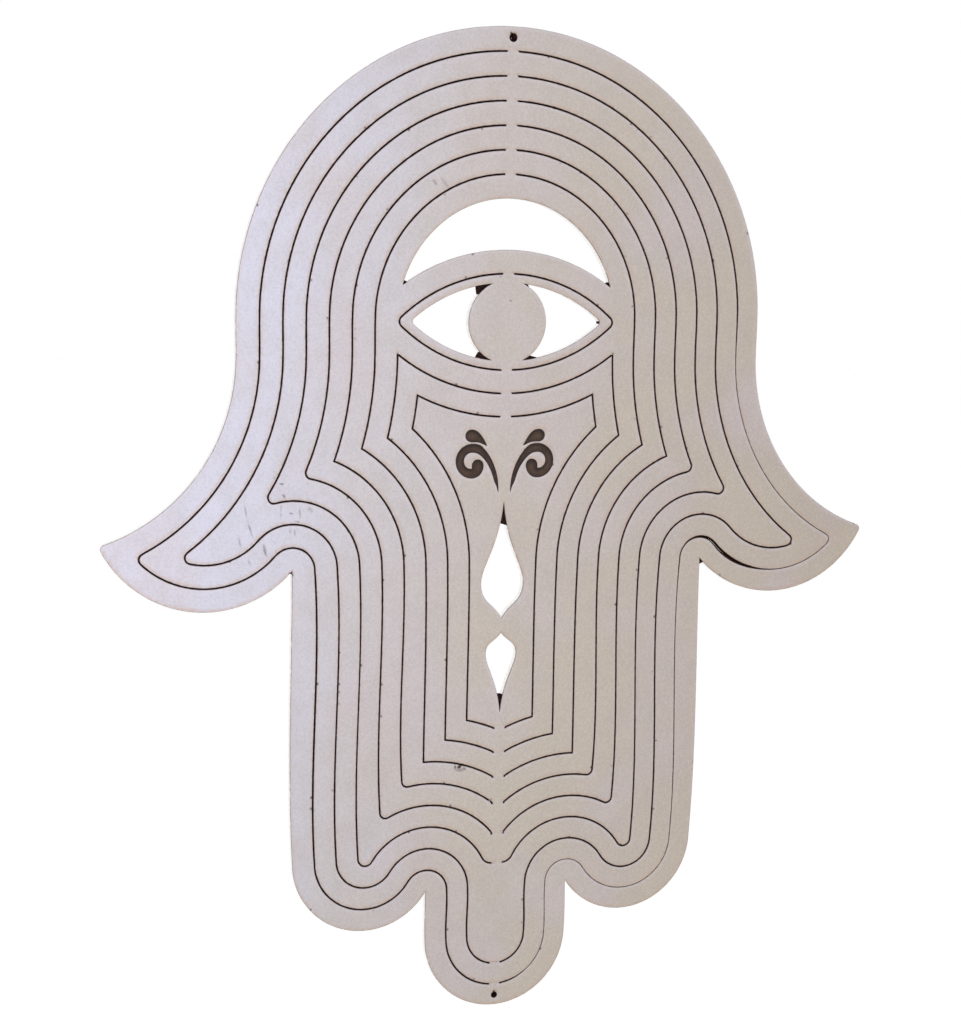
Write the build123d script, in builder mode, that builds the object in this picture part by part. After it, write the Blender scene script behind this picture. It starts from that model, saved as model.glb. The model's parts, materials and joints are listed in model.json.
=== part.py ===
"""Hamsa hand ornament cut from one sheet, in millimetres.

Nested panels follow the outline of the hand. Each slit between two panels stops
short of the centre line at the top and at the bottom, and the two necks of sheet
left there carry the inner panel and let it turn about the vertical line.

The origin is the centre of the hanging hole, halfway through the sheet.
X points right, Z points up and the front face looks towards -Y.
"""
import os
from math import cos, radians, sin, sqrt

from build123d import *

# Sheet and cut
sheet = 2.0
kerf = 0.32
pitch = 5.0
neck_width = 2.5

# Slits counted from the outline: the last one that enters the fingers, the last one that
# enters the thumbs, the last one with rounded lower corners, the one around the eye's frame
# and the one around the innermost panel
finger_slit_count = 3
thumb_slit_count = 4
rounded_slit_count = 5
frame_slit_count = 6
panel_slit_count = 8

# Outline of the hand
edge_above_hole = 2.26
crown_radius = 59.0
crown_turn = 57.4
side_radius = 60.6
side_run = 7.5
thumb_core_radius = 5.0
thumb_offset = 18.5
thumb_fall = 28.71
thumb_width_trim = 1.14
tip_round = 1.1
panel_half = 7.8
side_finger_core = 1.7
palm_run = 64.89
middle_finger_core = 1.9
middle_finger_lead = 20.3

# Hanging hole and the small hole at the other end of the centre line
hanging_bore = 0.85
lower_bore = 0.7
edge_below_hole = 2.3

# Corners of the slits that follow the outline
corner_round = 1.3
finger_slit_half = 2.94
finger_slit_round = 2.6

# Crescent opening, with the eye under it, the eye's two openings and the iris between them
crescent_height = 10.66
eye_corner_web = 4.74
eye_half_height = 10.2
eye_corner_rim = 3.1
lid_rim = 1.9
eye_opening_round = 0.9
iris_overlap = 0.55

# Teardrop openings in the palm, foot to foot, each with a long flank and a short one
tear_gap = 3.1
upper_tear_half = 4.95
upper_tear_length = 25.9
upper_tear_foot = 8.0
lower_tear_half = 3.58
lower_tear_length = 18.1
lower_tear_foot = 4.75
tear_waist_share = 0.665
tear_tip_half_share = 0.18
tear_tip_pull_share = 0.55
tear_long_pull_share = 0.21
tear_short_pull_share = 0.57
tear_foot_pull_share = 0.42
tear_foot_half_share = 0.32

# Scrolls engraved on both sides of the centre line, each with a bulb, a stem and a leaf
engraving_depth = 1.6
scroll_reach = 7.6
scroll_below_top = 9.39
scroll_radius = 3.7
scroll_stroke = 1.8
bulb_inset = 1.33
bulb_sink = 0.97
bulb_radius = 1.3
bulb_throat = 0.7
stem_inset = 6.2
stem_length = 6.82
stem_outer_shares = ((0.08, 0.39), (0.2, 0.585), (0.38, 0.775), (0.62, 0.935))
stem_inner_shares = ((0.67, 0.76), (0.41, 0.585), (0.245, 0.394), (0.13, 0.2))
stem_tangent_shares = (-0.25, -1)
leaf_offset = 0.25
leaf_rise = 5.48
leaf_radius = 1.31
leaf_tail_inset = 3.65
leaf_tail_sink = 2.2
leaf_upper_shares = (0.4, 0.67)
leaf_lower_shares = (0.47, 0.21)
leaf_tail_tangent_shares = (0.5, 1)
leaf_foot_tangent_shares = (-1, -0.4)

# Sizes that follow from the slits and the core that they leave
palm_half = panel_slit_count * pitch + panel_half
thumb_radius = thumb_slit_count * pitch + thumb_core_radius
thumb_width = 2 * finger_slit_count * pitch - thumb_width_trim
side_finger_radius = finger_slit_count * pitch + side_finger_core
middle_half = finger_slit_count * pitch + middle_finger_core

# A neck that turns sweeps a circle through its corners
neck_sweep = sqrt(neck_width**2 + sheet**2)

# Every outline is drawn on the back of the sheet, and the scrolls on its front
back_face = Plane.XZ.offset(-sheet / 2)
front_face = Plane.XZ.offset(sheet / 2)


def circles_meet(centre_a, radius_a, centre_b, radius_b):
    """Return the meeting point of two circles that lies farther from the centre line."""
    along = centre_b - centre_a
    unit = along.normalized()
    reach = (radius_a**2 - radius_b**2 + along.length**2) / (2 * along.length)
    rise = sqrt(radius_a**2 - reach**2)
    foot = centre_a + unit * reach
    side = Vector(-unit.Y, unit.X) * rise
    return max(foot + side, foot - side, key=lambda point: point.X)


def arc_rise(radius, run):
    """Return how far a circle of this radius rises above its centre at this run from it."""
    return sqrt(radius**2 - run**2)


def arc_radius(half_width, half_height):
    """Return the radius of an arc that spans this half width with this rise."""
    return (half_width**2 + half_height**2) / (2 * half_height)


def outline_points():
    """Return the corners of the right half of the hand, from top to bottom, and its flare's radius.

    The flare is the arc that leaves the thumb its width, measured through the thumb's centre.
    """
    crown_centre = Vector(0, edge_above_hole - crown_radius)
    turn = Vector(cos(radians(crown_turn)), sin(radians(crown_turn)))
    crown_end = crown_centre + turn * crown_radius
    side_top = crown_end - turn * side_radius + Vector(side_radius, 0)
    side_foot = side_top - Vector(0, side_run)
    thumb_centre = Vector(palm_half + thumb_offset, side_foot.Y - thumb_fall)
    spare = thumb_width - thumb_radius
    step = side_foot - thumb_centre
    flare_radius = (step.length**2 - spare**2) / (2 * (spare - step.X))
    flare_centre = side_foot + Vector(flare_radius, 0)
    tip = circles_meet(flare_centre, flare_radius, thumb_centre, thumb_radius)
    crotch = thumb_centre - Vector(thumb_offset, arc_rise(thumb_radius, thumb_offset))
    palm_foot = crotch - Vector(0, palm_run)
    finger_centre = palm_foot - Vector(side_finger_radius, 0)
    notch_fall = arc_rise(side_finger_radius, finger_centre.X - middle_half)
    middle_foot = Vector(middle_half, palm_foot.Y - middle_finger_lead)
    return {
        "top": Vector(0, edge_above_hole),
        "crown_end": crown_end,
        "side_top": side_top,
        "side_foot": side_foot,
        "flare": flare_radius,
        "tip": tip,
        "crotch": crotch,
        "palm_foot": palm_foot,
        "finger_low": finger_centre - Vector(0, side_finger_radius),
        "notch": Vector(middle_half, palm_foot.Y - notch_fall),
        "middle_foot": middle_foot,
        "middle_low": middle_foot - Vector(middle_half, middle_half),
    }


points = outline_points()

with BuildSketch(back_face) as hand:
    with BuildLine():
        RadiusArc(points["top"], points["crown_end"], crown_radius)
        RadiusArc(points["crown_end"], points["side_top"], side_radius)
        Line(points["side_top"], points["side_foot"])
        RadiusArc(points["side_foot"], points["tip"], -points["flare"])
        RadiusArc(points["tip"], points["crotch"], thumb_radius)
        Line(points["crotch"], points["palm_foot"])
        RadiusArc(points["palm_foot"], points["finger_low"], side_finger_radius)
        RadiusArc(points["finger_low"], points["notch"], side_finger_radius)
        Line(points["notch"], points["middle_foot"])
        RadiusArc(points["middle_foot"], points["middle_low"], middle_half)
        mirror(about=Plane.YZ)
    make_face()

hand_size = hand.sketch.bounding_box().size


def inset_hand(depth):
    """Return the hand drawn in by this depth."""
    with BuildSketch(back_face) as inset:
        add(hand.sketch)
        offset(amount=-depth, kind=Kind.ARC, mode=Mode.REPLACE)
    return inset.sketch


# The last slit that enters the fingers ends level, with this half width, above the notches
finger_slit_height = points["notch"].Y + arc_rise(
    finger_slit_count * pitch, points["notch"].X - finger_slit_half
)

# The eye hangs below the crescent and spans its frame but for a web at each corner
crescent_slit = frame_slit_count + 1
crescent_foot = points["top"].Y - crescent_slit * pitch - crescent_height
eye_height = crescent_foot - pitch - eye_half_height
eye_half_width = points["side_top"].X - frame_slit_count * pitch - eye_corner_web
eye_opening_half_width = eye_half_width - eye_corner_rim
eye_opening_half_height = eye_half_height - lid_rim
iris_radius = eye_opening_half_height + iris_overlap
eye_arc_radius = arc_radius(eye_half_width, eye_half_height)
upper_lid_centre = Vector(0, eye_height + eye_half_height - eye_arc_radius)
lower_lid_centre = Vector(0, eye_height - eye_half_height + eye_arc_radius)


def almond(half_width, half_height, growth, tip_radius):
    """Return the shape between two lids, grown by this much and rounded at both tips."""
    lid_radius = arc_radius(half_width, half_height)
    sink = lid_radius - half_height
    with BuildSketch(back_face) as shape:
        with Locations((0, eye_height - sink)):
            Circle(lid_radius + growth)
        with Locations((0, eye_height + sink)):
            Circle(lid_radius + growth, mode=Mode.INTERSECT)
        fillet(shape.vertices(), tip_radius + growth)
    return shape.sketch


def lowest_corners(area, nearest, farthest):
    """Return the lowest corners that lie between these distances from the centre line."""
    found = [corner for corner in area.vertices() if nearest <= abs(corner.X) <= farthest]
    return ShapeList(found).group_by(Axis.Y)[0]


def slit_edge(name, side):
    """Return the area inside one edge of a slit.

    The side is 1 for the edge of the panel around the slit and -1 for the panel inside it.
    """
    wall = side * kerf / 2
    with BuildSketch(back_face) as area:
        if name == "eye":
            add(almond(eye_half_width, eye_half_height, wall, corner_round))
        elif name > frame_slit_count:
            add(inset_hand(name * pitch - wall))
            with Locations(lower_lid_centre):
                Circle(eye_arc_radius + (name - frame_slit_count) * pitch - wall, mode=Mode.SUBTRACT)
            with Locations((0, eye_height)):
                Rectangle(hand_size.X, hand_size.Z, align=(Align.CENTER, Align.MIN), mode=Mode.SUBTRACT)
        else:
            add(inset_hand(name * pitch - wall))
            if name == finger_slit_count:
                with Locations((0, finger_slit_height - wall)):
                    Rectangle(2 * middle_half, hand_size.Z, align=(Align.CENTER, Align.MAX), mode=Mode.SUBTRACT)
                fillet(lowest_corners(area, 0, middle_half), finger_slit_round + wall)
            if name <= thumb_slit_count:
                across = area.vertices().group_by(Axis.X)
                fillet(across[0] + across[-1], corner_round + wall)
            if finger_slit_count < name <= rounded_slit_count:
                fillet(lowest_corners(area, neck_width, palm_half), corner_round + wall)
    return area.sketch


def neck_heights(name, side):
    """Return the top and bottom heights where one edge of a slit meets its necks."""
    half = neck_width / 2
    wall = side * kerf / 2
    crown = points["top"].Y - crown_radius
    notch = points["notch"]
    if name == "eye":
        rise = arc_rise(eye_arc_radius + wall, half)
        return upper_lid_centre.Y + rise, lower_lid_centre.Y - rise
    if name > frame_slit_count:
        lid_radius = eye_arc_radius + (name - frame_slit_count) * pitch
        top = lower_lid_centre.Y - arc_rise(lid_radius - wall, half)
    else:
        top = crown + arc_rise(crown_radius - name * pitch + wall, half)
    if name < finger_slit_count:
        bottom = points["middle_foot"].Y - arc_rise(middle_half - name * pitch + wall, half)
    elif name == finger_slit_count:
        bottom = finger_slit_height - wall
    else:
        bottom = notch.Y + arc_rise(name * pitch - wall, notch.X - half)
    return top, bottom


ring_slits = list(range(1, frame_slit_count + 1))
palm_slits = list(range(crescent_slit, panel_slit_count + 1))
slit_names = [*ring_slits, "eye", *palm_slits]
outer_edges = {name: slit_edge(name, 1) for name in slit_names}
inner_edges = {name: slit_edge(name, -1) for name in slit_names}


def square_seat(height, material_side, cleared_width):
    """Make the panel's edge flat and level where it meets a neck at this height."""
    material, gap = (Align.MIN, Align.MAX) if material_side == "above" else (Align.MAX, Align.MIN)
    with Locations((0, height)):
        Rectangle(neck_width, pitch / 2, align=(Align.CENTER, material))
        Rectangle(cleared_width, pitch / 2, align=(Align.CENTER, gap), mode=Mode.SUBTRACT)


def cut_slit(name):
    """Cut a slit's area out of the open sketch and square off its two neck seats."""
    top, bottom = neck_heights(name, 1)
    add(outer_edges[name], mode=Mode.SUBTRACT)
    square_seat(top, "above", neck_sweep)
    square_seat(bottom, "below", neck_sweep)


def fill_slit(name):
    """Add the panel inside a slit to the open sketch, squared off at its two necks."""
    top, bottom = neck_heights(name, -1)
    add(inner_edges[name])
    square_seat(top, "below", neck_width)
    square_seat(bottom, "above", neck_width)


# The innermost panel's top and bottom place its scrolls and the waist between its teardrops
panel_top, panel_bottom = neck_heights(panel_slit_count, -1)
tear_waist = panel_top + tear_waist_share * (panel_bottom - panel_top)


def teardrop(half, length, foot_length, way):
    """Return the teardrop above the waist when the way is 1, or below it when it is -1."""
    foot = tear_waist + way * tear_gap / 2
    wide = foot + way * foot_length
    tip = foot + way * length
    with BuildSketch(back_face) as outline:
        with BuildLine():
            Bezier(
                (0, tip),
                (tear_tip_half_share * half, tip + tear_tip_pull_share * (wide - tip)),
                (half, wide + tear_long_pull_share * (tip - wide)),
                (half, wide),
            )
            Bezier(
                (half, wide),
                (half, wide + tear_short_pull_share * (foot - wide)),
                (tear_foot_half_share * half, foot + tear_foot_pull_share * (wide - foot)),
                (0, foot),
            )
            mirror(about=Plane.YZ)
        make_face()
    return outline.sketch


def between(start, end, shares):
    """Return the point at these shares of the way from start to end, across and up."""
    return (start[0] + shares[0] * (end[0] - start[0]), start[1] + shares[1] * (end[1] - start[1]))


def scroll():
    """Return the curl with its stem and, above it, the leaf."""
    height = panel_top - scroll_below_top
    hollow_radius = scroll_radius - scroll_stroke
    crest = (scroll_reach, height + scroll_radius)
    back = (scroll_reach + scroll_radius, height)
    belly = (scroll_reach, height - scroll_radius)
    hollow = (scroll_reach, height + hollow_radius)
    hollow_back = (scroll_reach + hollow_radius, height)
    bulb_reach = scroll_reach - bulb_inset
    bulb_height = height - bulb_sink
    bulb_front = (bulb_reach - bulb_radius, bulb_height)
    bulb_top = (bulb_reach, bulb_height + bulb_radius)
    bulb_back = (bulb_reach + bulb_radius, bulb_height)
    throat = (bulb_reach + bulb_radius, bulb_height - bulb_throat)
    stem_tip = (scroll_reach - stem_inset, height - stem_length)
    leaf_reach = scroll_reach + leaf_offset
    leaf_height = height + leaf_rise
    leaf_top = (leaf_reach, leaf_height + leaf_radius)
    leaf_back = (leaf_reach + leaf_radius, leaf_height)
    leaf_foot = (leaf_reach, leaf_height - leaf_radius)
    leaf_tail = (leaf_reach - leaf_tail_inset, leaf_height - leaf_tail_sink)
    with BuildSketch(front_face) as outline:
        with BuildLine():
            Spline(stem_tip, *[between(stem_tip, crest, share) for share in stem_outer_shares], crest,
                   tangents=[(0, 1), (1, 0)])
            RadiusArc(crest, back, scroll_radius)
            RadiusArc(back, belly, scroll_radius)
            TangentArc(belly, bulb_front, tangent=(-1, 0))
            ThreePointArc(bulb_front, bulb_top, bulb_back)
            Line(bulb_back, throat)
            TangentArc(hollow_back, throat, tangent=(0, -1))
            RadiusArc(hollow_back, hollow, -hollow_radius)
            Spline(hollow, *[between(stem_tip, crest, share) for share in stem_inner_shares], stem_tip,
                   tangents=[(-1, 0), stem_tangent_shares])
        make_face()
        with BuildLine():
            Spline(leaf_tail, between(leaf_tail, leaf_top, leaf_upper_shares), leaf_top,
                   tangents=[leaf_tail_tangent_shares, (1, 0)])
            ThreePointArc(leaf_top, leaf_back, leaf_foot)
            Spline(leaf_foot, between(leaf_tail, leaf_top, leaf_lower_shares), leaf_tail,
                   tangents=[(-1, 0), leaf_foot_tangent_shares])
        make_face()
    return outline.sketch


os.makedirs("parts", exist_ok=True)

with BuildPart() as outer_ring:
    with BuildSketch(back_face) as blank:
        add(hand.sketch)
        across = blank.vertices().group_by(Axis.X)
        fillet(across[0] + across[-1], tip_round)
        cut_slit(ring_slits[0])
        Circle(hanging_bore, mode=Mode.SUBTRACT)
        with Locations((0, points["middle_low"].Y + edge_below_hole)):
            Circle(lower_bore, mode=Mode.SUBTRACT)
    extrude(amount=sheet)
outer_ring.part.label = "outer_ring"
export_step(outer_ring.part, "parts/outer_ring.step")

for slit in ring_slits[1:]:
    with BuildPart() as ring:
        with BuildSketch(back_face):
            fill_slit(slit - 1)
            cut_slit(slit)
        extrude(amount=sheet)
    ring.part.label = f"ring_{slit}"
    export_step(ring.part, f"parts/ring_{slit}.step")

with BuildPart() as eye_frame:
    with BuildSketch(back_face):
        fill_slit(frame_slit_count)
        with BuildSketch(back_face, mode=Mode.SUBTRACT):
            add(inset_hand(crescent_slit * pitch))
            with Locations(upper_lid_centre):
                Circle(eye_arc_radius + pitch, mode=Mode.SUBTRACT)
            with Locations((0, eye_height)):
                Rectangle(hand_size.X, hand_size.Z, align=(Align.CENTER, Align.MAX), mode=Mode.SUBTRACT)
        cut_slit("eye")
        cut_slit(palm_slits[0])
    extrude(amount=sheet)
eye_frame.part.label = "eye_frame"
export_step(eye_frame.part, "parts/eye_frame.step")

with BuildPart() as eye:
    with BuildSketch(back_face):
        fill_slit("eye")
        add(almond(eye_opening_half_width, eye_opening_half_height, 0, eye_opening_round),
            mode=Mode.SUBTRACT)
        with Locations((0, eye_height)):
            Circle(iris_radius)
    extrude(amount=sheet)
eye.part.label = "eye"
export_step(eye.part, "parts/eye.step")

with BuildPart() as palm_frame:
    with BuildSketch(back_face):
        fill_slit(palm_slits[0])
        cut_slit(palm_slits[1])
    extrude(amount=sheet)
palm_frame.part.label = "palm_frame"
export_step(palm_frame.part, "parts/palm_frame.step")

with BuildPart() as palm_panel:
    with BuildSketch(back_face):
        fill_slit(panel_slit_count)
        add(teardrop(upper_tear_half, upper_tear_length, upper_tear_foot, 1), mode=Mode.SUBTRACT)
        add(teardrop(lower_tear_half, lower_tear_length, lower_tear_foot, -1), mode=Mode.SUBTRACT)
    extrude(amount=sheet)
    with BuildSketch(front_face):
        add(scroll())
        mirror(about=Plane.YZ)
    extrude(amount=-engraving_depth, mode=Mode.SUBTRACT)
palm_panel.part.label = "palm_panel"
export_step(palm_panel.part, "parts/palm_panel.step")

for slit in slit_names:
    label = "eye_neck" if slit == "eye" else f"neck_{slit}"
    around = neck_heights(slit, 1)
    inside = neck_heights(slit, -1)
    for place, parent_edge, child_edge in zip(("top", "bottom"), around, inside):
        with BuildPart() as neck:
            with BuildSketch(back_face):
                with Locations((0, (parent_edge + child_edge) / 2)):
                    Rectangle(neck_width, abs(parent_edge - child_edge))
            extrude(amount=sheet)
        neck.part.label = f"{label}_{place}"
        export_step(neck.part, f"parts/{label}_{place}.step")
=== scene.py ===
"""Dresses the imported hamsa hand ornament: cut sheet panels, their necks, dross and the stage."""
import json
import math

import bpy
import numpy as np
from mathutils import Matrix, Vector, geometry, kdtree

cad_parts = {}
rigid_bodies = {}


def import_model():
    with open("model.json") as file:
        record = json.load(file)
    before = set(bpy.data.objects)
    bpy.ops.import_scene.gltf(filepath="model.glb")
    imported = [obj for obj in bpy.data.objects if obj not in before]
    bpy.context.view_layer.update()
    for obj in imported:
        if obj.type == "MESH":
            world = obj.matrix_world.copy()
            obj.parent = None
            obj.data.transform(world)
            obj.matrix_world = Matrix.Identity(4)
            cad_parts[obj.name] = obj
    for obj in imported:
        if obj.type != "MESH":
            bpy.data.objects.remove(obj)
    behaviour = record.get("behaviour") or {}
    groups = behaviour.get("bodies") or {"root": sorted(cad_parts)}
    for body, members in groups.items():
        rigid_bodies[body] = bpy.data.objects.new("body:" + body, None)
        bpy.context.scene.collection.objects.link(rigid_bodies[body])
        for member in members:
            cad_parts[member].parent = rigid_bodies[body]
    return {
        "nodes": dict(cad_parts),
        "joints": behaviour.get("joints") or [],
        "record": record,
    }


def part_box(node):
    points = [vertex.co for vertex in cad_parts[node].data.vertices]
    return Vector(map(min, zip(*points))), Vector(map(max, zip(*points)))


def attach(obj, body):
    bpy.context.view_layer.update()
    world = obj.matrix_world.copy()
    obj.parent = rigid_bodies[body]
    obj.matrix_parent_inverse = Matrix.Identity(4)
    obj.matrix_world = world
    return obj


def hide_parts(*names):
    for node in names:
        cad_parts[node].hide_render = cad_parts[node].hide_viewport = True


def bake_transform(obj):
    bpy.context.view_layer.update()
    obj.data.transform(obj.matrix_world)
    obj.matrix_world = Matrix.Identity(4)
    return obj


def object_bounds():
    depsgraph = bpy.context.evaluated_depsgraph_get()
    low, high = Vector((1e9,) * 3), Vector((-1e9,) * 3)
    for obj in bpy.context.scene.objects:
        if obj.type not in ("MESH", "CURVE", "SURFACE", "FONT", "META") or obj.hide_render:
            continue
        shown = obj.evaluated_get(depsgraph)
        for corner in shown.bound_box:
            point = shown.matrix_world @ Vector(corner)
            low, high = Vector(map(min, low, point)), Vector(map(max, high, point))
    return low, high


bl_info = {
    "name": "Hamsa Hand Ornament",
    "version": (1, 0, 0),
    "blender": (4, 5, 0),
    "location": "3D View > Sidebar > Hamsa",
    "description": "Dresses a laser-cut hamsa hand whose nested panels turn on short necks",
    "category": "Object",
}

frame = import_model()
CAD_BOX = [list(corner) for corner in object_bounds()]
BODIES = {body: list(nodes) for body, nodes in frame["record"]["behaviour"]["bodies"].items()}
PARENT_OF = {joint["child"]: joint["parent"] for joint in frame["joints"]}
PANELS = list(BODIES)
MM = 0.001
FRONT_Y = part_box("outer_ring")[0].y
BACK_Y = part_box("outer_ring")[1].y
NECK_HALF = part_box("neck_1_top")[1].x
BOX_LOW, BOX_HIGH = ((corner[0], corner[2]) for corner in CAD_BOX)

# How near two places count as the same: at all, on a face, at a floor's depth, on a neck's seat, at a middle
HAIR = 1e-6
FACE_NEAR = 2e-6
FLOOR_NEAR = 1e-5
SEAT_NEAR = 3e-5
MIDDLE_NEAR = 5e-5

# Outlines: what counts as a corner, a hole or a small loop, and how close the points lie
CORNER_TURN = math.radians(16)
LEAST_COSINE = 0.35
LEAST_STEP = 0.06 * MM
SEARCH_STEP = 0.12 * MM
TINT_STEP = 0.1 * MM
HOLE_SIZE = 2.5 * MM
SMALL_LOOP = 12 * MM
SMALL_LOOP_CLOSER = 2.2
CROSSING_BLOCK = 4000

# Slits: how near the next panel's edge is, and where the outer slit is sprung open and pinched
SLIT_REACH = 0.62 * MM
SLIT_FADE = 0.2 * MM
SPRUNG_OPEN = (53.9 * MM, -110.0 * MM)
SPRUNG_REACH = 5.0 * MM
SPRUNG_GAP = 0.55 * MM
SPRUNG_PINCH = 0.12 * MM
PINCH_DOWN = (52 * MM, 70 * MM)
PINCH_RIGHT = (2 * MM, 9 * MM)

# Faces: the rings of points inside an edge, the grid between them, and the other steps
RING_DEPTHS = (0.22 * MM, 0.6 * MM, 1.25 * MM)
RING_CLEAR = 0.86
EDGE_CLEAR = 0.12 * MM
MERGE_CELL = 0.17 * MM
ROW_SHARE = 0.866
GRID_CLEAR = 1.15
FLOOR_GRID = 0.5 * MM
FLOOR_CLEAR = 0.3 * MM
WAIST_DEPTH = 0.3 * MM
SHARP_TURN = math.radians(28)
NECK_POINTS = (15, 7, 5)

# Dross beads, which also paint the slits dark as shade, and webs of painted shade
NECK_SINK = 0.1 * MM
PINCHED_SINK = 0.03 * MM
WEB_FRONT = -0.75 * MM
WEB_BACK = 0.7 * MM
WEB_LAP = 0.35 * MM
WEB_RAGGED = 0.07 * MM
WEB_UNEVEN = 0.03 * MM
WEB_FREE_POINTS = 7


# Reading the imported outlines


def welded_mesh(node):
    """Return a node's points, with doubles merged, and its triangles."""
    mesh = frame["nodes"][node].data
    points = np.empty(len(mesh.vertices) * 3)
    mesh.vertices.foreach_get("co", points)
    mesh.calc_loop_triangles()
    corners = np.empty(len(mesh.loop_triangles) * 3, int)
    mesh.loop_triangles.foreach_get("vertices", corners)
    keys = np.round(points.reshape(-1, 3) * 1e6).astype(int)
    unique, place = np.unique(keys, axis=0, return_inverse=True)
    return unique / 1e6, place.ravel()[corners].reshape(-1, 3)


def border_edges(triangles):
    """Return the edges that belong to one triangle alone, in their triangle's direction."""
    edges = triangles[:, [0, 1, 1, 2, 2, 0]].reshape(-1, 2)
    known = set(map(tuple, edges.tolist()))
    return [(a, b) for a, b in known if (b, a) not in known]


def flat_loops(points, triangles, height):
    """Return the closed edges of the flat face at this depth, as points across and up."""
    level = np.abs(points[triangles][:, :, 1] - height).max(1) < FACE_NEAR
    following = dict(border_edges(triangles[level]))
    loops = []
    while following:
        start = next(iter(following))
        loop = [start]
        while True:
            step = following.pop(loop[-1])
            if step == start:
                break
            loop.append(step)
        loops.append(points[loop][:, [0, 2]])
    return loops


def is_corner(loop):
    """Return which points of a closed outline are corners."""
    ahead = np.roll(loop, -1, 0) - loop
    angle = np.arctan2(ahead[:, 1], ahead[:, 0])
    turn = (angle - np.roll(angle, 1) + math.pi) % (2 * math.pi) - math.pi
    return np.abs(turn) > CORNER_TURN


def smooth_loop(loop, spacing):
    """Return the outline with evenly close points, curved between its corners."""
    count = len(loop)
    corner = is_corner(loop)
    ahead = np.roll(loop, -1, 0) - loop
    length = np.hypot(*ahead.T)
    unit = ahead / length[:, None]
    before_unit = np.roll(unit, 1, 0)
    before_length = np.roll(length, 1)
    weight = before_length / (before_length + length)
    tangent = before_unit * (1 - weight)[:, None] + unit * weight[:, None]
    tangent /= np.hypot(*tangent.T)[:, None]
    points = []
    corners = []
    for index in range(count):
        after = (index + 1) % count
        steps = max(1, math.ceil(length[index] / spacing))
        share = np.arange(steps) / steps
        start = unit[index] if corner[index] else tangent[index]
        finish = unit[index] if corner[after] else tangent[after]
        a = 2 * share**3 - 3 * share**2 + 1
        b = share**3 - 2 * share**2 + share
        c = -2 * share**3 + 3 * share**2
        d = share**3 - share**2
        run = length[index]
        points.append(
            a[:, None] * loop[index] + b[:, None] * run * start
            + c[:, None] * loop[after] + d[:, None] * run * finish
        )
        corners.extend([bool(corner[index])] + [False] * (steps - 1))
    points = np.concatenate(points)
    corners = np.array(corners)
    kept = []
    for index, point in enumerate(points):
        close = kept and np.hypot(*(point - points[kept[-1]])) < LEAST_STEP
        if close and corners[index] and not corners[kept[-1]]:
            kept.pop()
        if not close or corners[index]:
            kept.append(index)
    return points[kept]


def inward(loop):
    """Return the unit direction from each point of an outline into the sheet."""
    ahead = np.roll(loop, -1, 0) - loop
    ahead /= np.maximum(np.hypot(*ahead.T), 1e-12)[:, None]
    normal = np.stack([-ahead[:, 1], ahead[:, 0]], 1)
    mean = normal + np.roll(normal, 1, 0)
    mean /= np.maximum(np.hypot(*mean.T), 1e-12)[:, None]
    cosine = np.maximum((mean * normal).sum(1), LEAST_COSINE)
    return mean / cosine[:, None]


def inside(points, loops):
    """Return which points lie inside the loops, by counting crossings."""
    count = np.zeros(len(points), int)
    for loop in loops:
        a = loop
        b = np.roll(loop, -1, 0)
        for start in range(0, len(points), CROSSING_BLOCK):
            block = points[start:start + CROSSING_BLOCK]
            above_a = a[None, :, 1] > block[:, None, 1]
            above_b = b[None, :, 1] > block[:, None, 1]
            rise = b[:, 1] - a[:, 1]
            rise = np.where(np.abs(rise) < 1e-15, 1e-15, rise)
            cross = a[None, :, 0] + (block[:, None, 1] - a[None, :, 1]) / rise * (b - a)[None, :, 0]
            count[start:start + CROSSING_BLOCK] += ((above_a != above_b) & (cross > block[:, None, 0])).sum(1)
    return count % 2 == 1


def tree_of(points):
    """Return a search tree over points across and up."""
    tree = kdtree.KDTree(len(points))
    for index, (x, z) in enumerate(points):
        tree.insert((x, 0, z), index)
    tree.balance()
    return tree


def nearest(tree, points):
    """Return each point's distance to the nearest point of the tree."""
    return np.array([tree.find((x, 0, z))[2] for x, z in points])


def rise(value, low, high):
    """Return a smooth rise from 0 at the low value to 1 at the high one."""
    share = np.clip((value - low) / (high - low), 0, 1)
    return share * share * (3 - 2 * share)


class Outline:
    """One closed edge of a panel: its points in front and at the back, and what it borders.

    A blind edge is that of an engraved scroll, and slit, joined and pinched say for each point
    whether it borders a slit, sits on a neck or lies where the outer slit is narrowed."""

    def __init__(self, loop, blind):
        self.points = loop
        self.blind = blind
        self.normal = inward(loop)
        self.slit = np.zeros(len(loop))
        self.joined = np.zeros(len(loop), bool)
        self.back = loop
        self.pinched = np.zeros(len(loop))
        self.inner = False
        size = loop.max(0) - loop.min(0)
        self.hole = float(size.max()) < HOLE_SIZE

    def dense(self, spacing):
        """Return close points along the outline outside its necks, and how far each borders a slit."""
        points, slits = [], []
        for index, start in enumerate(self.points):
            after = (index + 1) % len(self.points)
            if self.joined[index] and self.joined[after]:
                continue
            end = self.points[after]
            steps = max(1, math.ceil(np.hypot(*(end - start)) / spacing))
            share = np.arange(steps)[:, None] / steps
            points.append(start + share * (end - start))
            slits.append(self.slit[index] + share[:, 0] * (self.slit[after] - self.slit[index]))
        return np.concatenate(points), np.concatenate(slits)

    def spring(self, closed, opened):
        """Close the slit from this side all through, and open it at the front alone."""
        self.back = self.points - self.normal * closed[:, None]
        self.points = self.back + self.normal * opened[:, None]
        self.normal = inward(self.points)


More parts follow.
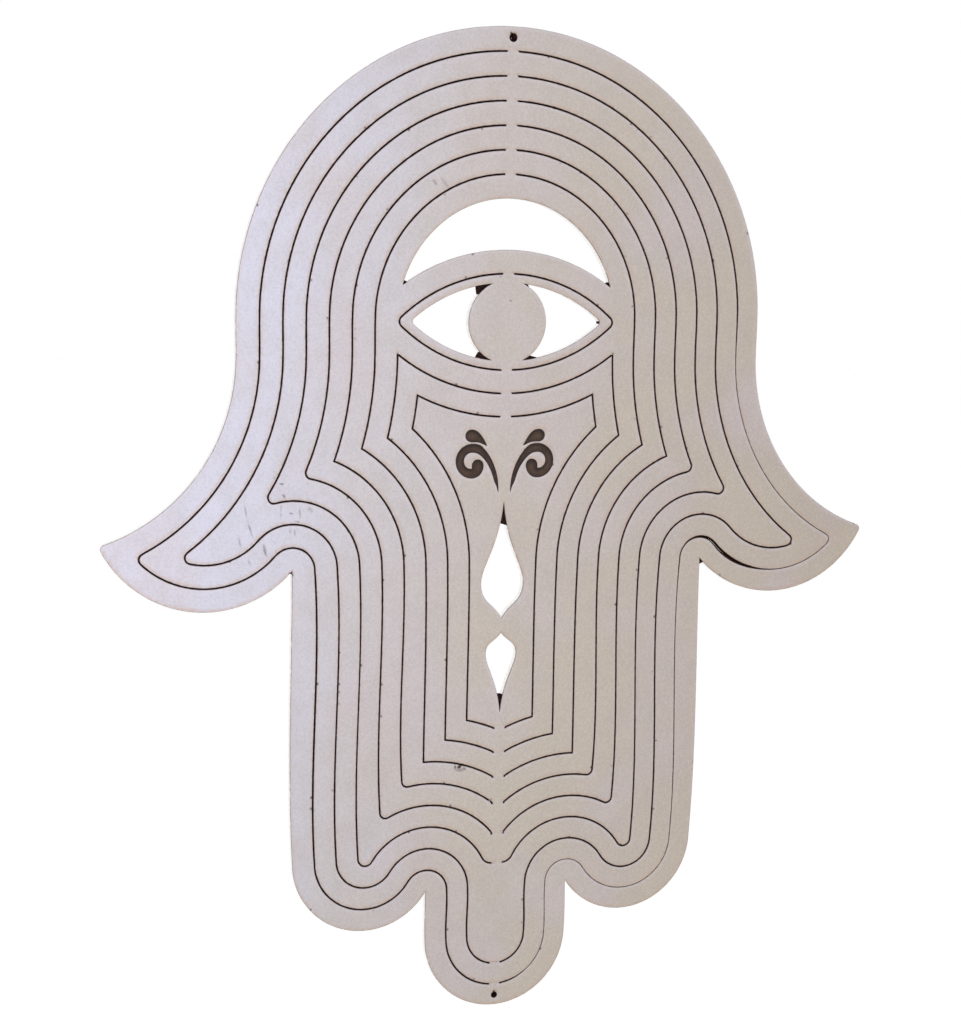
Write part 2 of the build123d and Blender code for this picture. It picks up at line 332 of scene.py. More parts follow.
def read_outlines(spacing):
    """Return every panel's outlines, each marked where it borders a slit or a neck."""
    outlines = {}
    for body in PANELS:
        points, triangles = welded_mesh(body)
        through = [loop.mean(0) for loop in flat_loops(points, triangles, BACK_Y)]
        found = []
        for loop in flat_loops(points, triangles, FRONT_Y):
            blind = not any(np.hypot(*(loop.mean(0) - other)) < MIDDLE_NEAR for other in through)
            size = loop.max(0) - loop.min(0)
            step = spacing if size.max() > SMALL_LOOP else spacing / SMALL_LOOP_CLOSER
            found.append(Outline(np.clip(smooth_loop(loop, step), BOX_LOW, BOX_HIGH), blind))
        outlines[body] = found
    seats = [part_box(node) for nodes in BODIES.values() for node in nodes if "neck" in node]
    for body in PANELS:
        others = [line for other in PANELS if other != body for line in outlines[other] if not line.blind]
        tree = tree_along(others)
        for line in outlines[body]:
            gap = nearest(tree, line.points)
            line.slit = np.clip((SLIT_REACH - gap) / SLIT_FADE, 0, 1) * (not line.blind)
            line.inner = body in PARENT_OF and borders(line, outlines[PARENT_OF[body]])
            for low, high in seats:
                for level in (low.z, high.z):
                    across, up = line.points.T
                    seated = (np.abs(across) <= high.x + HAIR) & (np.abs(up - level) < SEAT_NEAR)
                    line.points[seated, 1] = level
                    line.joined |= seated
            line.back = line.points
    spring_outer_slit(outlines)
    return outlines


def tree_along(lines):
    """Return a search tree over close points along these outlines."""
    return tree_of(np.concatenate([line.dense(SEARCH_STEP)[0] for line in lines]))


def borders(line, others):
    """Return whether most of an outline lies one slit away from these outlines."""
    tree = tree_along([other for other in others if not other.blind])
    return float(np.median(nearest(tree, line.points))) < SLIT_REACH


def spring_outer_slit(outlines):
    """Close the outer slit a little on the right, and open it under the right thumb."""
    pair = ("outer_ring", "ring_2")
    trees = [tree_along(outlines[body]) for body in pair]
    for body, tree in zip(pair, reversed(trees)):
        for line in outlines[body]:
            x, z = line.points.T
            near = nearest(tree, line.points) < SLIT_REACH
            opened = np.exp(-((x - SPRUNG_OPEN[0])**2 + (z - SPRUNG_OPEN[1])**2) / (2 * SPRUNG_REACH**2))
            pinched = rise(-z, *PINCH_DOWN) * rise(x, *PINCH_RIGHT) * (1 - np.clip(3 * opened, 0, 1))
            line.pinched = near * pinched
            line.spring(SPRUNG_PINCH * line.pinched, SPRUNG_GAP * near * opened * (body == "outer_ring"))


# Building a panel


def triangulated(points, edges, mode):
    """Return the points and triangles of a flat mesh with these edges in it."""
    result = geometry.delaunay_2d_cdt([Vector(point) for point in points / MM], edges, [], mode, 1e-7, False)
    return np.array([(point.x, point.y) for point in result[0]]) * MM, np.array(result[2])


def fill_flat(loops, extra, edge_tree, steps):
    """Return points and triangles of the flat area inside the loops."""
    edges = []
    start = 0
    for loop in loops:
        ring = list(range(start, start + len(loop)))
        edges += [(ring[i], ring[(i + 1) % len(ring)]) for i in range(len(ring))]
        start += len(loop)
    inner = []
    for depth in steps:
        for loop in loops:
            inner.append(loop + inward(loop) * depth)
    inner = np.concatenate(inner + [extra]) if inner else extra
    depths = np.concatenate([np.full(sum(map(len, loops)), depth) for depth in steps] + [np.zeros(len(extra))])
    away = nearest(edge_tree, inner)
    inner = inner[(away > RING_CLEAR * depths) & (away > EDGE_CLEAR)]
    inner = inner[inside(inner, loops)]
    if len(inner):
        key = np.round(inner / MERGE_CELL).astype(int)
        inner = inner[np.unique(key, axis=0, return_index=True)[1]]
    placed, triangles = triangulated(np.concatenate([*loops, inner]), edges, 0)
    centres = placed[triangles].mean(1)
    return placed, triangles[inside(centres, loops)]


def grid_inside(loops, spacing, edge_tree, least):
    """Return an even triangular grid of points over the flat area, clear of its edges."""
    low = np.min([loop.min(0) for loop in loops], 0)
    high = np.max([loop.max(0) for loop in loops], 0)
    rows = []
    for index, z in enumerate(np.arange(low[1], high[1], spacing * ROW_SHARE)):
        x = np.arange(low[0] + (index % 2) * spacing / 2, high[0], spacing)
        rows.append(np.stack([x, np.full(len(x), z)], 1))
    grid = np.concatenate(rows)
    grid = grid[inside(grid, loops)]
    away = nearest(edge_tree, grid)
    return grid[away > least]


class PanelParts:
    """Gathers a panel's points and faces with the values painted on them."""

    def __init__(self, lines):
        self.vertices = []
        self.faces = []
        self.kinds = []
        self.values = {"edge": [], "slit": [], "lean": []}
        self.cuts = {}
        for height, chosen in ((FRONT_Y, lines), (BACK_Y, [line for line in lines if not line.blind])):
            if chosen:
                dense = [line.dense(TINT_STEP) for line in chosen]
                self.cuts[height] = (tree_of(np.concatenate([points for points, _ in dense])),
                                     np.concatenate([slits for _, slits in dense]))

    def place(self, flat, height, edge, slit, lean):
        """Add points at a depth and return where they start."""
        start = len(self.vertices)
        count = len(flat)
        depth = np.broadcast_to(height, count)
        self.vertices.extend(np.stack([flat[:, 0], depth, flat[:, 1]], 1).tolist())
        for name, value in (("edge", edge), ("slit", slit), ("lean", lean)):
            self.values[name].extend(np.broadcast_to(value, count).tolist())
        return start

    def place_face(self, flat, height):
        """Add points of a flat face, each with its distance and direction from the nearest cut."""
        tree, slits = self.cuts.get(height, self.cuts[FRONT_Y])
        found = [tree.find((x, 0, z)) for x, z in flat]
        distance = np.array([distance for _, _, distance in found])
        slit = slits[[index for _, index, _ in found]]
        up = flat[:, 1] - np.array([spot.z for spot, _, _ in found])
        return self.place(flat, height, distance / MM, slit, up / np.maximum(distance, HAIR))

    def strip(self, first, second, kinds):
        """Join two rings of points with a band of faces."""
        count = len(kinds)
        for index in range(count):
            after = (index + 1) % count
            self.faces.append((first + index, second + index, second + after, first + after))
            self.kinds.append(kinds[index])

    def flat(self, triangles, start, kind, front):
        """Add a flat face's triangles, facing forwards or backwards."""
        turned = triangles if front else triangles[:, ::-1]
        self.faces.extend((turned + start).tolist())
        self.kinds.extend([kind] * len(triangles))


FACE, PAINTED_SHADE_SLIT_WALL, ENGRAVING, OPEN_WALL, PAINTED_SHADE_SLAG = range(5)


def wall_kinds(line):
    """Return what each stretch of an outline's wall is: a slit wall darkened as painted shade, a bright open cut or
    a hole whose dark slag paints shade.
    """
    mean = (line.slit + np.roll(line.slit, -1)) / 2
    return np.where(line.hole, PAINTED_SHADE_SLAG, np.where(mean > 0.5, PAINTED_SHADE_SLIT_WALL, OPEN_WALL)).tolist()


def rim_kinds(line):
    """Return what each stretch of an outline's rounded rim is: the sheet's face beside a slit, or the wall."""
    return [FACE if kind == PAINTED_SHADE_SLIT_WALL else kind for kind in wall_kinds(line)]


def narrowed(line, share):
    """Return an outline's back edge drawn in towards its middle, the waist of dark slag that paints shade inside a
    hole.
    """
    centre = line.back.mean(0)
    return centre + (line.back - centre) * share


def panel_mesh(body, outlines, finish):
    """Return a panel's mesh: two flat faces, the walls of its cuts and any engraved floors."""
    lines = outlines[body]
    through = [line for line in lines if not line.blind]
    parts = PanelParts(lines)
    rings = []
    for side, height, chosen in ((0, FRONT_Y, lines), (1, BACK_Y, through)):
        edges = [line.points if side == 0 else line.back for line in chosen]
        loops = [edge + inward(edge) * finish.rim * (~line.joined)[:, None] for edge, line in zip(edges, chosen)]
        tree = tree_of(np.concatenate(loops))
        grid = grid_inside(loops, finish.grid, tree, GRID_CLEAR * finish.grid)
        flat, triangles = fill_flat(loops, grid, tree, RING_DEPTHS)
        rings.append(parts.place_face(flat, height))
        parts.flat(triangles, rings[side], FACE, side == 0)
    front_ring, back_ring = rings
    for line in lines:
        count = len(line.points)
        lean = line.normal[:, 1]
        drop = finish.rim * (~line.joined)
        lip = parts.place(line.points, FRONT_Y + drop, 0.0, line.slit, lean)
        parts.strip(front_ring, lip, rim_kinds(line) if not line.blind else [ENGRAVING] * count)
        front_ring += count
        if line.blind:
            depth = floor_depth(body)
            foot = parts.place(line.points, depth, 0.0, 0.0, 0.0)
            parts.strip(lip, foot, [ENGRAVING] * count)
            outline = line.points[::-1]
            tree = tree_of(outline)
            grid = grid_inside([outline], FLOOR_GRID, tree, FLOOR_CLEAR)
            flat, triangles = fill_flat([outline], grid, tree, ())
            parts.flat(triangles, parts.place_face(flat, depth), ENGRAVING, True)
            continue
        kinds = wall_kinds(line)
        # A hole narrows to a waist of dark slag, painted shade that keeps the hole dark.
        waist_share, waist_depth = (finish.hole_waist, WAIST_DEPTH) if line.hole else (1.0, 0.0)
        waist = parts.place(narrowed(line, waist_share), waist_depth, 0.0, line.slit, lean)
        foot = parts.place(line.back, BACK_Y - drop, 0.0, line.slit, lean)
        parts.strip(lip, waist, kinds)
        parts.strip(waist, foot, kinds)
        parts.strip(foot, back_ring, rim_kinds(line))
        back_ring += count
    return build_mesh(body, parts)


def floor_depth(body):
    """Return the depth of the engraved floors of a panel."""
    points, _ = welded_mesh(body)
    heights = np.unique(points[:, 1])
    return float(heights[(heights > FRONT_Y + FLOOR_NEAR) & (heights < BACK_Y - FLOOR_NEAR)][0])


def build_mesh(name, parts):
    """Return a mesh with the values painted on its points, and sharp edges kept."""
    mesh = bpy.data.meshes.new(name)
    mesh.from_pydata(parts.vertices, [], parts.faces)
    for kind, values in parts.values.items():
        mesh.attributes.new(kind, "FLOAT", "POINT").data.foreach_set("value", np.array(values, np.float32))
    mesh.polygons.foreach_set("material_index", np.array(parts.kinds, np.int32))
    mesh.shade_smooth()
    mesh.set_sharp_from_angle(angle=SHARP_TURN)
    mesh.validate()
    return mesh


def neck_mesh(node):
    """Return a neck's mesh, divided so that it can twist."""
    low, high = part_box(node)
    wide, tall, thick = NECK_POINTS
    across = np.linspace(low.x, high.x, wide)
    up = np.linspace(low.z, high.z, tall)
    deep = np.linspace(low.y, high.y, thick)
    parts = PanelParts([])
    sides = (
        (across, up, lambda x, z: (x, low.y, z), False, FACE),
        (across, up, lambda x, z: (x, high.y, z), True, FACE),
        # The neck's sides take the slit wall's painted shade.
        (deep, up, lambda y, z: (low.x, y, z), True, PAINTED_SHADE_SLIT_WALL),
        (deep, up, lambda y, z: (high.x, y, z), False, PAINTED_SHADE_SLIT_WALL),
        (across, deep, lambda x, y: (x, y, low.z), True, PAINTED_SHADE_SLIT_WALL),
        (across, deep, lambda x, y: (x, y, high.z), False, PAINTED_SHADE_SLIT_WALL),
    )
    for first, second, corner, flip, kind in sides:
        start = len(parts.vertices)
        run = len(first)
        points = np.array([corner(a, b) for b in second for a in first])
        parts.vertices.extend(points.tolist())
        parts.values["edge"].extend(((high.x - np.abs(points[:, 0])) / MM).tolist())
        parts.values["slit"].extend([1.0] * len(points))
        parts.values["lean"].extend([0.0] * len(points))
        for row in range(len(second) - 1):
            for column in range(run - 1):
                spot = start + row * run + column
                face = (spot, spot + 1, spot + run + 1, spot + run)
                parts.faces.append(face[::-1] if flip else face)
                parts.kinds.append(kind)
    return build_mesh(node, parts)


# Materials


# Each noise: its scale, detail and roughness
NOISES = {
    "cloud": (45.0, 3.0, 0.55), "olive": (33.0, 2.0, 0.5), "patch": (170.0, 2.0, 0.5),
    "grain": (2300.0, 2.0, 0.7), "ragged": (900.0, 3.0, 0.6), "drift": (60.0, 2.0, 0.5),
    "slit_lines": (1900.0, 3.0, 0.65), "wall_lines": (1700.0, 3.0, 0.65), "wall_ragged": (700.0, 3.0, 0.6),
    "char_coarse": (330.0, 3.0, 0.6), "char_fine": (2200.0, 2.0, 0.6), "mottled": (1500.0, 3.0, 0.6),
    "bead": (900.0, 1.0, 0.5),
}
FACE_NOISES = ("cloud", "olive", "patch", "grain", "ragged", "drift")
LINE_SQUEEZE = 0.12


class Nodes:
    """Adds shader or geometry nodes to a tree in a short way."""

    def __init__(self, tree):
        self.tree = tree

    def feed(self, socket, value):
        """Link a socket to another one, or give it a plain value."""
        if isinstance(value, bpy.types.NodeSocket):
            self.tree.links.new(value, socket)
        else:
            socket.default_value = value

    def add(self, kind, values=(), **settings):
        """Add a node, set its properties, then its inputs by name or place."""
        node = self.tree.nodes.new(kind)
        for name, value in settings.items():
            setattr(node, name, value)
        for name, value in dict(values).items():
            self.feed(node.inputs[name], value)
        return node

    def math(self, operation, first, second=0.0):
        """Return the result of one sum on two values."""
        return self.add("ShaderNodeMath", {0: first, 1: second}, operation=operation).outputs[0]

    def times(self, first, second):
        """Return the product of two values."""
        return self.math("MULTIPLY", first, second)

    def rest(self, value):
        """Return what a value leaves of 1."""
        return self.math("SUBTRACT", 1.0, value)

    def ramp(self, value, low, high, top=1.0):
        """Return a smooth rise from 0 at the low value to the top at the high one."""
        node = self.add("ShaderNodeMapRange", {"Value": value, "From Min": low, "From Max": high, "To Max": top},
                        interpolation_type="SMOOTHSTEP")
        return node.outputs["Result"]

    def mix(self, share, first, second):
        """Return a colour between two colours."""
        node = self.add("ShaderNodeMix", data_type="RGBA")
        for place, value in zip((0, 6, 7), (share, first, second)):
            self.feed(node.inputs[place], value)
        return node.outputs[2]

    def layer(self, below, share, strength, tone):
        """Return a colour with a tone laid over it where the share says so."""
        return self.mix(self.times(share, strength), below, tone)

    def noise(self, where, name):
        """Return the noise of this name at a place."""
        scale, detail, roughness = NOISES[name]
        values = {"Vector": where, "Scale": scale, "Detail": detail, "Roughness": roughness}
        return self.add("ShaderNodeTexNoise", values).outputs["Fac"]

    def painted(self, name):
        """Return a value that is painted on the mesh's points."""
        return self.add("ShaderNodeAttribute", attribute_name=name).outputs["Fac"]

    def place(self):
        """Return the place on the object."""
        return self.add("ShaderNodeTexCoord").outputs["Object"]

    def through(self):
        """Return the place squeezed along the sheet's depth, so that a noise runs through it in lines."""
        return self.add("ShaderNodeMapping", {"Vector": self.place(), "Scale": (1.0, LINE_SQUEEZE, 1.0)}).outputs[0]

    def dress(self, shader, colour, height, strength, distance):
        """Give a shader its colour and its bump."""
        self.feed(shader.inputs["Base Color"], colour)
        bump = self.add("ShaderNodeBump", {"Height": height, "Strength": strength, "Distance": distance})
        self.feed(shader.inputs["Normal"], bump.outputs["Normal"])


def linear(red, green, blue):
    """Return a colour given by its three screen values, from 0 to 255."""
    def channel(value):
        value /= 255
        return value / 12.92 if value <= 0.04045 else ((value + 0.055) / 1.055) ** 2.4
    return (channel(red), channel(green), channel(blue), 1.0)


def new_material(name, **uniform):
    """Return a new node material with its tools and its shader, given the shader's uniform values."""
    material = bpy.data.materials.new(name)
    material.use_nodes = True
    shader = material.node_tree.nodes["Principled BSDF"]
    for key, value in uniform.items():
        shader.inputs[key.replace("_", " ")].default_value = value
    return material, Nodes(material.node_tree), shader


PAINTED_WARM_LIGHT_TONE = linear(198, 187, 168)
RUBBED_TONE = linear(104, 92, 94)
SPLASH_TONE = linear(48, 26, 22)
CHAR_GRAIN = linear(96, 72, 58)
CHAR_PAINTED_SHADE = linear(26, 15, 14)

# Where across the face each tone gives way to the next, from painted cool light on the left to painted warm light
# on the right, and how much lower places count as further right; then patches of painted warm light towards the
# lower right
PAINTED_COOL_LIGHT_TO_MIDDLE = (-66 * MM, 26 * MM)
MIDDLE_TO_PAINTED_WARM_LIGHT = (20 * MM, 118 * MM)
PAINTED_LIGHT_SLOPE = 0.12
PAINTED_LIGHT_CLOUD_DRIFT = 45 * MM
PAINTED_WARM_LIGHT_SIDE = (-10 * MM, 55 * MM)
PAINTED_WARM_LIGHT_SLOPE = 0.3
PAINTED_WARM_LIGHT_FADE = (0.4, 0.6)
PAINTED_WARM_LIGHT_STRENGTH = 0.5

# Tones laid over the face: the noise, where in it the tone starts and is full, its strength, and the tone
FACE_LAYERS = (
    ("olive", 0.5, 0.32, 0.4, linear(206, 193, 199)),
    ("patch", 0.35, 0.7, 0.2, linear(184, 176, 172)),
    ("grain", 0.46, 0.72, 0.22, linear(166, 156, 154)),
    ("grain", 0.52, 0.3, 0.22, linear(226, 220, 216)),
)

# Heat tint, and the painted pale sheen below the cuts: its least reach and what the noise adds, as shares of the
# setting, and its fades
HALO_LEAST = 0.2
HALO_MORE = 1.6
HALO_FADE = (0.1, 1.0)
HALO_RAGGED = (0.1, 0.75)
HALO_STRENGTH = 0.68
LEAN_FADE = (-0.5, 0.5)

# Soot on a rim and specks beside it, at distances in mm
SOOT_START = -0.06
SOOT_MORE = 0.3
SOOT_FADE = (-0.06, 0.07)
SOOT_STRENGTH = 0.4
SOOT_AT_SLITS = 0.22
SPECK_SCALE = 620.0
SPECK_RARITY = 0.86
SPECK_SIZE = (0.1, 0.28)
SPECK_FADE = (0.1, 0.75)
SPECK_STRENGTH = 0.85

GRAIN_ROUGHNESS = 0.16
GRAIN_HEIGHT = 0.35
PATCH_HEIGHT = 0.65
STROKE_FADE = (1.0, 0.25)


def face_tones_and_painted_light(tools, noise, axes, settings):
    """Return the face's colour: painted cool light on the left and painted warm light on the right along a cloudy
    border, with patches of painted warm light at the lower right, over its own patches and grain.
    """
    across, height = axes["X"], axes["Z"]
    # Painted light: cool light on the left gives way to warm light on the right, along a cloudy border.
    cloud = tools.times(tools.math("SUBTRACT", noise["cloud"], 0.5), PAINTED_LIGHT_CLOUD_DRIFT)
    drifted = tools.math("ADD", tools.math("SUBTRACT", across, tools.times(height, PAINTED_LIGHT_SLOPE)), cloud)
    body = tools.mix(tools.ramp(drifted, *PAINTED_COOL_LIGHT_TO_MIDDLE), settings.face_painted_cool_light, settings.face_mid)
    body = tools.mix(tools.ramp(drifted, *MIDDLE_TO_PAINTED_WARM_LIGHT), body, settings.face_painted_warm_light)
    # Painted warm light in patches at the lower right.
    low_right = tools.ramp(tools.math("SUBTRACT", across, tools.times(height, PAINTED_WARM_LIGHT_SLOPE)), *PAINTED_WARM_LIGHT_SIDE)
    warm_light_patches = tools.times(tools.ramp(noise["olive"], *PAINTED_WARM_LIGHT_FADE), low_right)
    body = tools.layer(body, warm_light_patches, PAINTED_WARM_LIGHT_STRENGTH, PAINTED_WARM_LIGHT_TONE)
    for name, low, high, strength, tone in FACE_LAYERS:
        body = tools.layer(body, tools.ramp(noise[name], low, high), strength, tone)
    return body


def heat_tint_and_painted_sheen(tools, noise, edge, body, settings):
    """Return the colour with the tan heat tint above the cuts and a painted pale sheen below them."""
    more = tools.times(noise["drift"], settings.halo * HALO_MORE / MM)
    reach = tools.math("ADD", more, settings.halo * HALO_LEAST / MM)
    halo = tools.rest(tools.ramp(tools.math("DIVIDE", edge, reach), *HALO_FADE))
    halo = tools.times(halo, tools.ramp(noise["ragged"], *HALO_RAGGED))
    # Tan heat tint above a cut, painted pale sheen below it.
    tint = tools.mix(tools.ramp(tools.painted("lean"), *LEAN_FADE), settings.halo_painted_sheen, settings.halo_tint)
    return tools.layer(body, halo, HALO_STRENGTH, tint)


def soot_and_specks(tools, noise, place, edge, body, settings):
    """Return the colour with the ragged soot on the cuts' rims and the lone specks near them."""
    reach = tools.math("ADD", tools.times(noise["ragged"], SOOT_MORE), SOOT_START)
    soot = tools.rest(tools.ramp(tools.math("SUBTRACT", edge, reach), *SOOT_FADE))
    strength = tools.math("ADD", tools.times(tools.painted("slit"), SOOT_AT_SLITS), SOOT_STRENGTH)
    body = tools.layer(body, soot, strength, settings.soot)
    cells = tools.add("ShaderNodeTexVoronoi", {"Vector": place, "Scale": SPECK_SCALE, "Randomness": 1.0}).outputs
    draw = tools.add("ShaderNodeSeparateColor", {"Color": cells["Color"]}).outputs[0]
    speck = tools.times(tools.rest(tools.ramp(cells["Distance"], *SPECK_SIZE)),
                        tools.math("GREATER_THAN", draw, SPECK_RARITY))
    speck = tools.times(speck, tools.rest(tools.ramp(edge, *SPECK_FADE)))
    return tools.layer(body, speck, SPECK_STRENGTH, settings.soot)


def sheet_face_material(settings):
    """Return the satin face of the sheet, tinted and sooted along its cuts."""
    material, tools, shader = new_material("satin_sheet_face", Metallic=settings.metallic)
    place = tools.place()
    noise = {name: tools.noise(place, name) for name in FACE_NOISES}
    axes = tools.add("ShaderNodeSeparateXYZ", {"Vector": place}).outputs
    edge = tools.painted("edge")
    body = face_tones_and_painted_light(tools, noise, axes, settings)
    body = heat_tint_and_painted_sheen(tools, noise, edge, body, settings)
    body = soot_and_specks(tools, noise, place, edge, body, settings)
    in_front = tools.math("LESS_THAN", axes["Y"], 0.0)
    for marks, fade, tone in ((GREY_STROKES, (0.25, 0.6), RUBBED_TONE), (DARK_STROKES, (0.18, 0.45), SPLASH_TONE)):
        cover = tools.times(strokes(tools, place, marks), tools.ramp(noise["ragged"], *fade))
        body = tools.layer(body, cover, in_front, tone)
    swing = tools.times(noise["grain"], GRAIN_ROUGHNESS)
    tools.feed(shader.inputs["Roughness"], tools.math("ADD", swing, settings.roughness - GRAIN_ROUGHNESS / 2))
    height = tools.math("ADD", tools.times(noise["grain"], GRAIN_HEIGHT), tools.times(noise["patch"], PATCH_HEIGHT))
    tools.dress(shader, body, height, strength=0.16, distance=0.08 * MM)
    return material


# Rubbed marks: across, up, half length and half width in mm, angle in degrees, strength
GREY_STROKES = (
    (-57.94, -97.84, 2.3, 0.29, -80, 0.58), (-56.88, -102.11, 2.5, 0.29, -72, 0.65),
    (-59.15, -104.82, 1.8, 0.35, -78, 0.41), (-53.78, -106.45, 2.1, 0.49, -76, 0.61),
    (-57.15, -108.93, 1.6, 0.32, -74, 0.44), (-50.08, -92.49, 0.7, 0.35, -1, 0.90),
    (-49.65, -95.04, 0.7, 0.49, -53, 0.90), (-50.27, -98.32, 1.9, 0.38, -92, 0.44),
    (-48.01, -98.74, 0.6, 0.32, -8, 0.90), (-46.85, -100.53, 0.8, 0.29, -11, 0.90),
    (-48.24, -102.53, 1.4, 0.35, -90, 0.44), (-47.24, -102.87, 1.0, 0.32, -90, 0.44),
    (-46.13, -98.73, 1.8, 0.35, -86, 0.44), (-43.91, -98.13, 1.0, 0.87, -50, 0.41),
    (-51.73, -104.69, 0.4, 0.32, -80, 0.77), (-16.87, -29.85, 1.3, 0.43, -50, 0.51),
    (-14.75, -29.80, 1.9, 0.49, -50, 0.37), (0.55, -54.06, 0.4, 0.29, 0, 0.90),
)
DARK_STROKES = (
    (-9.35, -156.35, 0.9, 0.60, 36, 1.00), (-8.50, -156.00, 1.3, 0.38, -14, 0.95),
    (-10.35, -156.40, 0.7, 0.42, -89, 0.70), (-8.20, -156.90, 0.7, 0.36, -12, 0.60),
    (-9.20, -157.10, 1.7, 0.65, -5, 0.42), (-47.72, -111.89, 0.5, 0.26, -71, 0.85),
    (-0.42, 0.78, 0.62, 0.46, -60, 1.0), (0.34, 0.82, 0.60, 0.50, -50, 0.35),
    (-0.14, -210.10, 0.62, 0.34, 60, 1.0), (0.30, -210.00, 0.50, 0.34, 30, 0.35),
)


def strokes(tools, place, marks):
    """Return how strongly any of these rubbed marks covers a place."""
    cover = 0.0
    for x, z, length, width, angle, strength in marks:
        values = {"Vector": place, "Location": (x * MM, 0.0, z * MM), "Rotation": (0.0, math.radians(-angle), 0.0),
                  "Scale": (length * MM, 1.0, width * MM)}
        mapped = tools.add("ShaderNodeMapping", values, vector_type="TEXTURE").outputs[0]
        reach = tools.add("ShaderNodeVectorMath", {0: mapped}, operation="LENGTH").outputs["Value"]
        cover = tools.math("MAXIMUM", tools.ramp(reach, *STROKE_FADE, top=strength), cover)
    return cover


def painted_shade_slit_wall_material(settings):
    """Return the wall inside a slit, darkened as painted shade, with paler streaks."""
    material, tools, shader = new_material("slit_wall_painted_shade", Roughness=0.95, Specular_IOR_Level=0.05)
    lines = tools.noise(tools.through(), "slit_lines")
    colour = tools.mix(tools.ramp(lines, 0.3, 0.75), settings.slit, settings.slit_pale)
    tools.dress(shader, colour, lines, strength=0.4, distance=0.06 * MM)
    return material


def open_wall_material(settings):
    """Return the bright wall of an open cut, striped by the beam and burnt at its front rim."""
    material, tools, shader = new_material("bright_cut_wall", Roughness=0.3, Metallic=0.95)
    place = tools.place()
    lines = tools.noise(tools.through(), "wall_lines")
    colour = tools.mix(tools.ramp(lines, 0.3, 0.7), settings.wall, settings.wall_pale)
    depth = tools.add("ShaderNodeSeparateXYZ", {"Vector": place}).outputs["Y"]
    to_rim = tools.math("DIVIDE", tools.math("SUBTRACT", depth, FRONT_Y), MM)
    burnt = tools.times(tools.rest(tools.ramp(to_rim, 0.1, 0.6)),
                        tools.ramp(tools.noise(place, "wall_ragged"), 0.15, 0.5))
    colour = tools.layer(colour, burnt, 0.8, settings.soot)
    tools.dress(shader, colour, lines, strength=0.35, distance=0.05 * MM)
    return material


def engraved_floor_and_shade_material(settings):
    """Return the charred floor and walls of the engraved scrolls, with painted shade that darkens them towards
    their edges, most under their upper edges.
    """
    material, tools, shader = new_material("charred_engraving_with_painted_shade", Roughness=0.8)
    place = tools.place()
    coarse = tools.noise(place, "char_coarse")
    fine = tools.noise(place, "char_fine")
    colour = tools.mix(tools.ramp(coarse, 0.2, 0.65), settings.char_dark, settings.char)
    colour = tools.layer(colour, tools.ramp(fine, 0.45, 0.8), 0.35, CHAR_GRAIN)
    # Painted shade: darker near the scroll's edges, most under its upper edges.
    upper_edge_shade = tools.times(tools.ramp(tools.painted("lean"), 0.5, -0.5), 0.5)
    painted_shade_near_edges = tools.rest(tools.ramp(tools.painted("edge"), 0.0, 1.25))
    colour = tools.layer(colour, painted_shade_near_edges, tools.math("ADD", 0.5, upper_edge_shade), CHAR_PAINTED_SHADE)
    tools.dress(shader, colour, tools.math("ADD", coarse, fine), strength=0.5, distance=0.12 * MM)
    return material


def dross_and_painted_shade_material(settings):
    """Return the dark material of the beads, the webs and the holes: dross on the beads, and painted shade that
    darkens the slits, the corners and the holes.
    """
    material, tools, shader = new_material("dark_dross_and_painted_shade", Roughness=0.95, Specular_IOR_Level=0.05)
    mottled = tools.noise(tools.place(), "mottled")
    colour = tools.mix(tools.ramp(mottled, 0.35, 0.7), settings.slag, settings.slag_pale)
    tools.dress(shader, colour, mottled, strength=0.5, distance=0.05 * MM)
    return material


PANEL_FINISHES = {
    "satin_sheet_face": sheet_face_material,
    "slit_wall_painted_shade": painted_shade_slit_wall_material,
    "charred_engraving_with_painted_shade": engraved_floor_and_shade_material,
    "bright_cut_wall": open_wall_material,
    "dark_dross_and_painted_shade": dross_and_painted_shade_material,
}


def finishes(*names):
    """Return the materials with these names, each made once, or all of them in the panels' order."""
    settings = bpy.context.scene.hamsa_finish
    return [bpy.data.materials.get(name) or PANEL_FINISHES[name](settings) for name in names or PANEL_FINISHES]


# Dross beads inside the slits, which also paint the slits dark as shade


